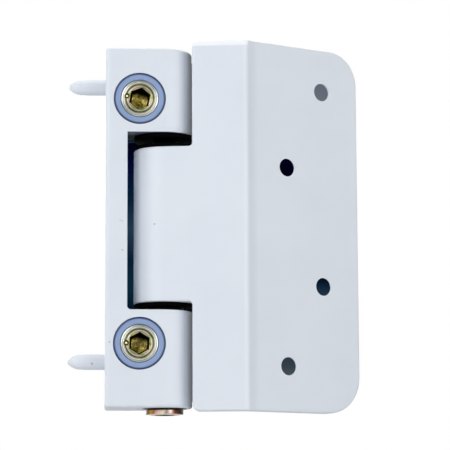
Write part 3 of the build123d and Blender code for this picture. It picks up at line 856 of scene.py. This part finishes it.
class HINGE_OT_adjusters(bpy.types.Operator):
    """Makes the two eccentric adjusters, with their hexagon sockets and punch marks"""
    bl_idname = "hinge.adjusters"
    bl_label = "Adjusters"

    def execute(self, context):
        hardware = context.scene.hinge_hardware
        for side, turn in SOCKET_TURNS.items():
            node = side + "_adjuster"
            bm = bmesh.new()
            # Face with its scribed ring, wide chamfer, journal and grooved tail.
            groove_end = GROOVE_START + GROOVE_WIDTH
            lathe(bm, ((ADJUSTER_FACE_R, 0), (SCRIBED_INNER_R, 0), (SCRIBED_FLOOR[0], SCRIBED_DEPTH),
                       (SCRIBED_FLOOR[1], SCRIBED_DEPTH), (SCRIBED_R, 0), *HEAD_EDGE, (HEAD_R, HEAD_DEPTH),
                       (JOURNAL_R, HEAD_DEPTH), (JOURNAL_R, JOURNAL_END), (TAIL_R, JOURNAL_END),
                       (TAIL_R, GROOVE_START), (GROOVE_R, GROOVE_START), (GROOVE_R, groove_end),
                       (TAIL_R, groove_end), (TAIL_R, TAIL_END - TAIL_CHAMFER),
                       (TAIL_R - TAIL_CHAMFER, TAIL_END), (0, TAIL_END)))
            cut_socket(bm, ADJUSTER_FACE_R, hardware.socket / MM, SOCKET_DEPTH, radians(turn))
            soften(bm, ADJUSTER_EDGE, 2)
            angle = radians(180 + turn)
            punch = Vector((cos(angle), 0, sin(angle))) * PUNCH_REACH * MM
            dent(bm, punch, PUNCH_R)
            lobe = bmesh.ops.create_cone(bm, cap_ends=True, segments=CIRCLE_STEPS, radius1=LOBE_R * MM,
                                         radius2=LOBE_R * MM, depth=(LOBE_END - JOURNAL_END) * MM)["verts"]
            bmesh.ops.rotate(bm, verts=lobe, cent=(0, 0, 0), matrix=Matrix.Rotation(pi / 2, 3, "X"))
            offset = Vector((0, (LOBE_END + JOURNAL_END) / 2, ECCENTRICITY)) * MM
            bmesh.ops.translate(bm, verts=lobe, vec=offset)
            centre = middle(side + "_adjuster_ring")
            centre.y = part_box(node)[0].y
            bmesh.ops.translate(bm, verts=bm.verts, vec=centre)
            material = passivated_steel(node + "_passivated_steel", hardware, centre, turn, punch)
            finish_piece(bm, node + "_eccentric", node, material, "adjuster_steel", node)
        return {"FINISHED"}


class HINGE_OT_height_screw(bpy.types.Operator):
    """Makes the height screw: a chamfered head with a hexagon socket and a threaded shank"""
    bl_idname = "hinge.height_screw"
    bl_label = "Height screw"

    def execute(self, context):
        hardware = context.scene.hinge_hardware
        low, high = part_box("height_screw")
        length = (high.z - low.z) / MM
        bm = bmesh.new()
        lathe(bm, ((SCREW_FACE_R, 0), (HEAD_R, SCREW_FACE_RISE), (HEAD_R, SCREW_HEAD - SCREW_HEAD_CHAMFER),
                   (HEAD_R - SCREW_HEAD_CHAMFER, SCREW_HEAD), (SCREW_ROOT_R, SCREW_HEAD),
                   (SCREW_ROOT_R, length - SCREW_TIP_CHAMFER), (SCREW_ROOT_R - SCREW_TIP_CHAMFER, length),
                   (BALL_SEAT_R, length), (BALL_SEAT_R, length - BALL_SEAT_DEPTH),
                   (0, length - BALL_SEAT_DEPTH)))
        cut_socket(bm, SCREW_FACE_R, hardware.socket / MM, SCREW_SOCKET_DEPTH)
        soften(bm, SCREW_EDGE, 2)
        helix_ridge(bm, SCREW_ROOT_R, SCREW_CREST_R, SCREW_PITCH, SCREW_HEAD + SCREW_RUN_OUT,
                    length - SCREW_RUN_OUT)
        foot = Vector((PIN_AXIS.x, PIN_AXIS.y, low.z))
        bmesh.ops.transform(bm, verts=bm.verts, matrix=Matrix.Translation(foot) @ FACE_DOWN)
        finish_piece(bm, "height_screw_turned", "height_screw", copper_passivated(hardware),
                     "height_screw_steel", "height_screw")
        return {"FINISHED"}


class HINGE_OT_bushes(bpy.types.Operator):
    """Makes the black flanged bushes of the knuckle and the collar under the upper lug"""
    bl_idname = "hinge.bushes"
    bl_label = "Bushes"

    def execute(self, context):
        material = bush_nylon("moulded_nylon_bush", context.scene.hinge_hardware.bush)
        for node, body, face_up, flange, sleeve_r in (
                ("upper_collar", "carriage", False, COLLAR_FLANGE, COLLAR_SLEEVE_R),
                ("upper_knuckle_bush", "flag", True, BUSH_FLANGE, BUSH_SLEEVE_R),
                ("lower_knuckle_bush", "flag", False, BUSH_FLANGE, BUSH_SLEEVE_R)):
            low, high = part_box(node)
            length = (high.z - low.z) / MM
            bm = bmesh.new()
            lathe(bm, ((PIN_BORE, 0), (FLANGE_R, 0), (FLANGE_R, flange), (sleeve_r, flange),
                       (sleeve_r, length), (PIN_BORE, length), (PIN_BORE, 0)))
            soften(bm, BUSH_EDGE)
            stand = FACE_DOWN.inverted() if face_up else FACE_DOWN
            foot = Vector((PIN_AXIS.x, PIN_AXIS.y, high.z if face_up else low.z))
            bmesh.ops.transform(bm, verts=bm.verts, matrix=Matrix.Translation(foot) @ stand)
            finish_piece(bm, node + "_moulding", body, material, "bush_nylon", node)
        return {"FINISHED"}


class HINGE_OT_inner_parts(bpy.types.Operator):
    """Gives the parts inside the lugs their metal finishes"""
    bl_idname = "hinge.inner_parts"
    bl_label = "Inner parts"

    def execute(self, context):
        for name, (tones, roughness, spacing, stretch, nodes) in INNER_METALS.items():
            material = bare_metal(name, tones, roughness, spacing, stretch)
            for node in nodes:
                dress(node, material)
        return {"FINISHED"}

# Stage

def stage_object(name, bm, material):
    """Puts a mesh that isn't part of the hinge in the scene."""
    mesh = bpy.data.meshes.new(name)
    bm.to_mesh(mesh)
    bm.free()
    mesh.materials.append(material)
    made = bpy.data.objects.new(name, mesh)
    bpy.context.scene.collection.objects.link(made)
    return made


def floor_card(settings):
    """The floor's material: white to the camera, as the backdrop is, and diffuse to everything else."""
    material, tree, _, output = new_material("floor_card")
    diffuse = add_node(tree, "ShaderNodeBsdfDiffuse", {"Color": settings.floor}).outputs["BSDF"]
    white = add_node(tree, "ShaderNodeEmission", {"Color": linear("#FFFFFF")}).outputs["Emission"]
    path = add_node(tree, "ShaderNodeLightPath").outputs
    both = either(tree, path["Is Camera Ray"], diffuse, white)
    # From below the floor is clear, so that the hinge shows from there too.
    facing = add_node(tree, "ShaderNodeNewGeometry").outputs
    clear = add_node(tree, "ShaderNodeBsdfTransparent").outputs["BSDF"]
    tree.links.new(either(tree, facing["Backfacing"], both, clear), output.inputs["Surface"])
    return material


def one_sided_card(name, upright, tones):
    """A material that glows in dark tones of painted shade from foot to top, and that only the camera sees,
    from its front.
    """
    material, tree, place, output = new_material(name)
    up = add_node(tree, "ShaderNodeSeparateXYZ", {"Vector": place}).outputs["Z"]
    stops = [(index / (len(tones) - 1), linear(tone)) for index, tone in enumerate(tones)]
    colour = ramp(tree, along(tree, up, upright), *stops)
    glow = add_node(tree, "ShaderNodeEmission", {"Color": colour}).outputs["Emission"]
    clear = add_node(tree, "ShaderNodeBsdfTransparent").outputs["BSDF"]
    facing = add_node(tree, "ShaderNodeNewGeometry").outputs
    path = add_node(tree, "ShaderNodeLightPath").outputs
    # Light passes through the card, so that it throws no shade on the hinge.
    unseen = maths(tree, "MAXIMUM", facing["Backfacing"], maths(tree, "SUBTRACT", 1.0, path["Is Camera Ray"]))
    tree.links.new(either(tree, unseen, glow, clear), output.inputs["Surface"])
    return material


def shade_card(name, body, bm, upright, tones):
    """A card of painted shade that rides with a body, close behind an opening of it that looks dark from the
    front.
    """
    card = stage_object(name, bm, one_sided_card(name, upright, tones))
    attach(card, body)


def upright_card(name, body, across, depth, upright, tones):
    """A card square to the Y axis, from its spans along X and Z."""
    bm = bmesh.new()
    bm.faces.new([bm.verts.new(Vector((across[x], depth, upright[z])) * MM)
                  for x, z in ((0, 0), (1, 0), (1, 1), (0, 1))])
    shade_card(name, body, bm, upright, tones)


def hole_card(mount, tones):
    """A round card of painted shade that closes one of the plate's screw holes."""
    centre, outward = Vector(mount["pos_m"]), Vector(mount["axis"])
    bm = bmesh.new()
    bmesh.ops.create_circle(bm, cap_ends=True, radius=CARD_R * MM, segments=CIRCLE_STEPS)
    turn = outward.to_track_quat("Z", "Y").to_matrix().to_4x4()
    into = Matrix.Translation(centre + outward * CARD_OUT * MM)
    bmesh.ops.transform(bm, verts=bm.verts, matrix=into @ turn)
    level = centre.z / MM
    shade_card(mount["name"] + "_card", "flag", bm, (level - CARD_R, level + CARD_R), tones)


def area_light(name, place, target, power):
    """A square soft light that looks at a point; places are in metres and power in watts."""
    data = bpy.data.lights.new(name, "AREA")
    data.shape, data.size, data.energy = "SQUARE", LAMP_SIZE, power
    lamp = bpy.data.objects.new(name, data)
    aim = (Vector(target) - Vector(place)).to_track_quat("-Z", "Y").to_matrix().to_4x4()
    lamp.matrix_world = Matrix.Translation(place) @ aim
    bpy.context.scene.collection.objects.link(lamp)


def studio(settings):
    """The room all round: white to the camera, grey behind it in gloss and metal, and faint as a light."""
    world = bpy.data.worlds.new("studio")
    world.use_nodes = True
    sky = world.node_tree
    sky.nodes.clear()
    path = add_node(sky, "ShaderNodeLightPath").outputs
    # Gloss and glass meet the white backdrop. The room behind the camera is grey, which sets metal off.
    direction = add_node(sky, "ShaderNodeTexCoord").outputs["Generated"]
    parts = add_node(sky, "ShaderNodeSeparateXYZ", {"Vector": direction}).outputs
    room = ranged(sky, parts["Y"], *ROOM_SPAN, settings.room_grey, 1.0)
    mirrored = maths(sky, "MAXIMUM", path["Is Glossy Ray"], path["Is Transmission Ray"])
    strength = between(sky, path["Is Camera Ray"], between(sky, mirrored, settings.ambient, room), 1.0)
    light = add_node(sky, "ShaderNodeBackground", {"Color": linear("#FFFFFF"), "Strength": strength})
    out = add_node(sky, "ShaderNodeOutputWorld")
    sky.links.new(light.outputs["Background"], out.inputs["Surface"])
    return world


def studio_camera(settings):
    """The camera in front of the hinge and a little below it, which looks slightly up."""
    data = bpy.data.cameras.new("camera")
    data.lens = LENS_MM
    data.sensor_width = SENSOR_MM
    camera = bpy.data.objects.new("camera", data)
    camera.matrix_world = (
        Matrix.Translation(CAMERA_PLACE) @ Matrix.Rotation(-settings.heading, 4, "Z")
        @ Matrix.Rotation(pi / 2 + settings.pitch, 4, "X") @ Matrix.Rotation(settings.roll, 4, "Z"))
    return camera


class HINGE_OT_stage(bpy.types.Operator):
    """Sets up the floor, the cards of painted shade, the soft lights, the white background and the camera"""
    bl_idname = "hinge.stage"
    bl_label = "Stage"

    def execute(self, context):
        scene = context.scene
        settings = scene.hinge_stage
        low, high = cad_box
        bm = bmesh.new()
        bmesh.ops.create_grid(bm, x_segments=1, y_segments=1, size=FLOOR_REACH)
        bmesh.ops.translate(bm, verts=bm.verts, vec=(0, 0, low.z - settings.floor_drop))
        stage_object("floor", bm, floor_card(settings))
        mounts = {mount["name"]: mount for mount in frame["record"]["mounts"]}
        for name, tones in HOLE_SHADE_TONES.items():
            hole_card(mounts[name], tones)
        collar_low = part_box("upper_collar")[0] / MM
        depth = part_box("frame_body")[1].y / MM + SLIT_BEHIND
        upright_card("slit_shade_card", "frame", (collar_low.x - SLIT_WIDTH, PIN_AXIS.x / MM), depth, SLIT_SPAN,
                     SLIT_SHADE_TONES)
        upright_card("nose_shade_card", "flag", NOSE_CARD_SPAN, NOSE_CARD_DEPTH, NOSE_CARD_UPRIGHT, NOSE_CARD_SHADE_TONES)
        for name, (place, power) in LAMPS.items():
            area_light(name, place, (low + high) / 2, power)
        scene.world = studio(settings)
        scene.camera = studio_camera(settings)
        scene.collection.objects.link(scene.camera)
        scene.view_settings.view_transform = "Standard"
        return {"FINISHED"}


class HINGE_PT_panel(bpy.types.Panel):
    bl_idname = "HINGE_PT_panel"
    bl_label = "Hinge"
    bl_space_type = "VIEW_3D"
    bl_region_type = "UI"
    bl_category = "Hinge"

    def draw(self, context):
        for operator in OPERATORS:
            self.layout.operator(operator.bl_idname)
        for group in GROUPS:
            settings = getattr(context.scene, group)
            for name in settings.bl_rna.properties.keys():
                if name not in ("rna_type", "name"):
                    self.layout.prop(settings, name)


GROUPS = {"hinge_paint": HingePaint, "hinge_rings": HingeRings, "hinge_hardware": HingeHardware,
          "hinge_stage": HingeStage}
OPERATORS = (HINGE_OT_castings, HINGE_OT_adjuster_rings, HINGE_OT_adjusters, HINGE_OT_height_screw,
             HINGE_OT_bushes, HINGE_OT_inner_parts, HINGE_OT_stage)


def register():
    for group, kind in GROUPS.items():
        bpy.utils.register_class(kind)
        setattr(bpy.types.Scene, group, PointerProperty(type=kind))
    for kind in (*OPERATORS, HINGE_PT_panel):
        bpy.utils.register_class(kind)


def unregister():
    for kind in (HINGE_PT_panel, *reversed(OPERATORS)):
        bpy.utils.unregister_class(kind)
    for group, kind in GROUPS.items():
        delattr(bpy.types.Scene, group)
        bpy.utils.unregister_class(kind)


def main():
    register()
    bpy.ops.hinge.castings()
    bpy.ops.hinge.adjuster_rings()
    bpy.ops.hinge.adjusters()
    bpy.ops.hinge.height_screw()
    bpy.ops.hinge.bushes()
    bpy.ops.hinge.inner_parts()
    bpy.ops.hinge.stage()
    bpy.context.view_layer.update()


if __name__ == "__main__":
    main()
